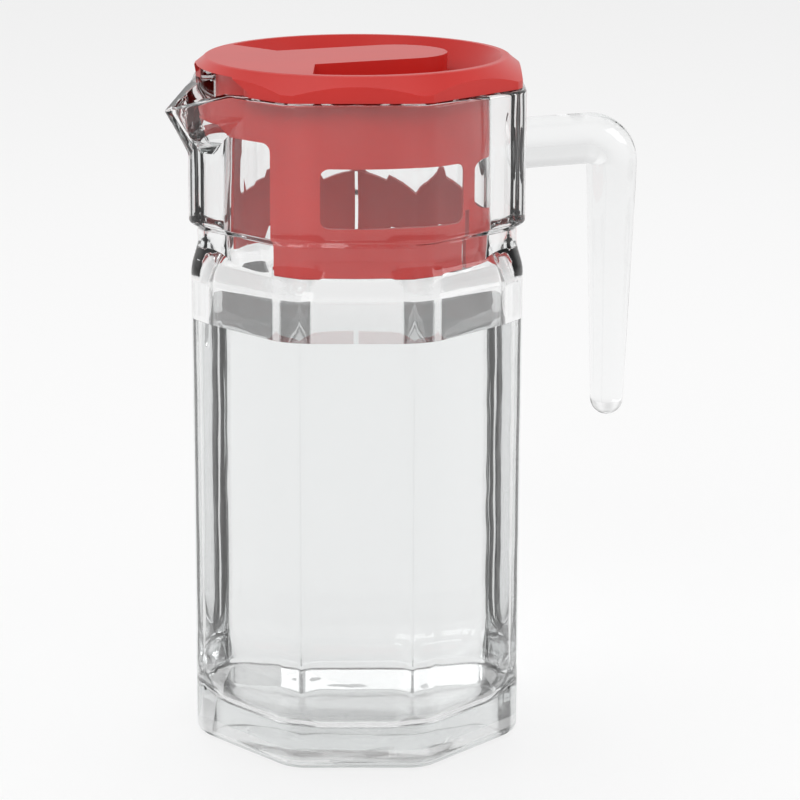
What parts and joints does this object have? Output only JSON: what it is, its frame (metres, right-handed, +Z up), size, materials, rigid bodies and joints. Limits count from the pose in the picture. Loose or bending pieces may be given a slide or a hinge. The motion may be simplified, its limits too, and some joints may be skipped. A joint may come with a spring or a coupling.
{
  "type": "glass pitcher with lid",
  "caption": "Octagonal clear glass pitcher with a pulled pouring spout, a hooked glass handle and a lift-off plastic lid whose windowed sleeve fills the collar.",
  "frame": {"origin": "centre of the jug's flat base, on the axis of the body and the collar", "axes": "+Z up along the jug's axis; handle along +X; spout along -X; corners of the octagon at 0, 45, 90 degrees and so on"},
  "size_m": [0.1826, 0.1248, 0.2446],
  "materials": {
    "jug_glass": "clear polished pressed glass",
    "handle_glass": "clear fire-polished glass",
    "cap_plastic": "satin",
    "sleeve_plastic": "satin"
  },
  "bodies": {
    "jug": {"glass_jug": "jug_glass", "glass_handle": "handle_glass"},
    "lid": {"lid_cap": "cap_plastic", "lid_sleeve": "sleeve_plastic"}
  },
  "joints": [
    {"name": "lid_lift", "type": "slide", "parent": "jug", "child": "lid", "axis": [0, 0, 1], "range_m": [0, 0.08]}
  ]
}
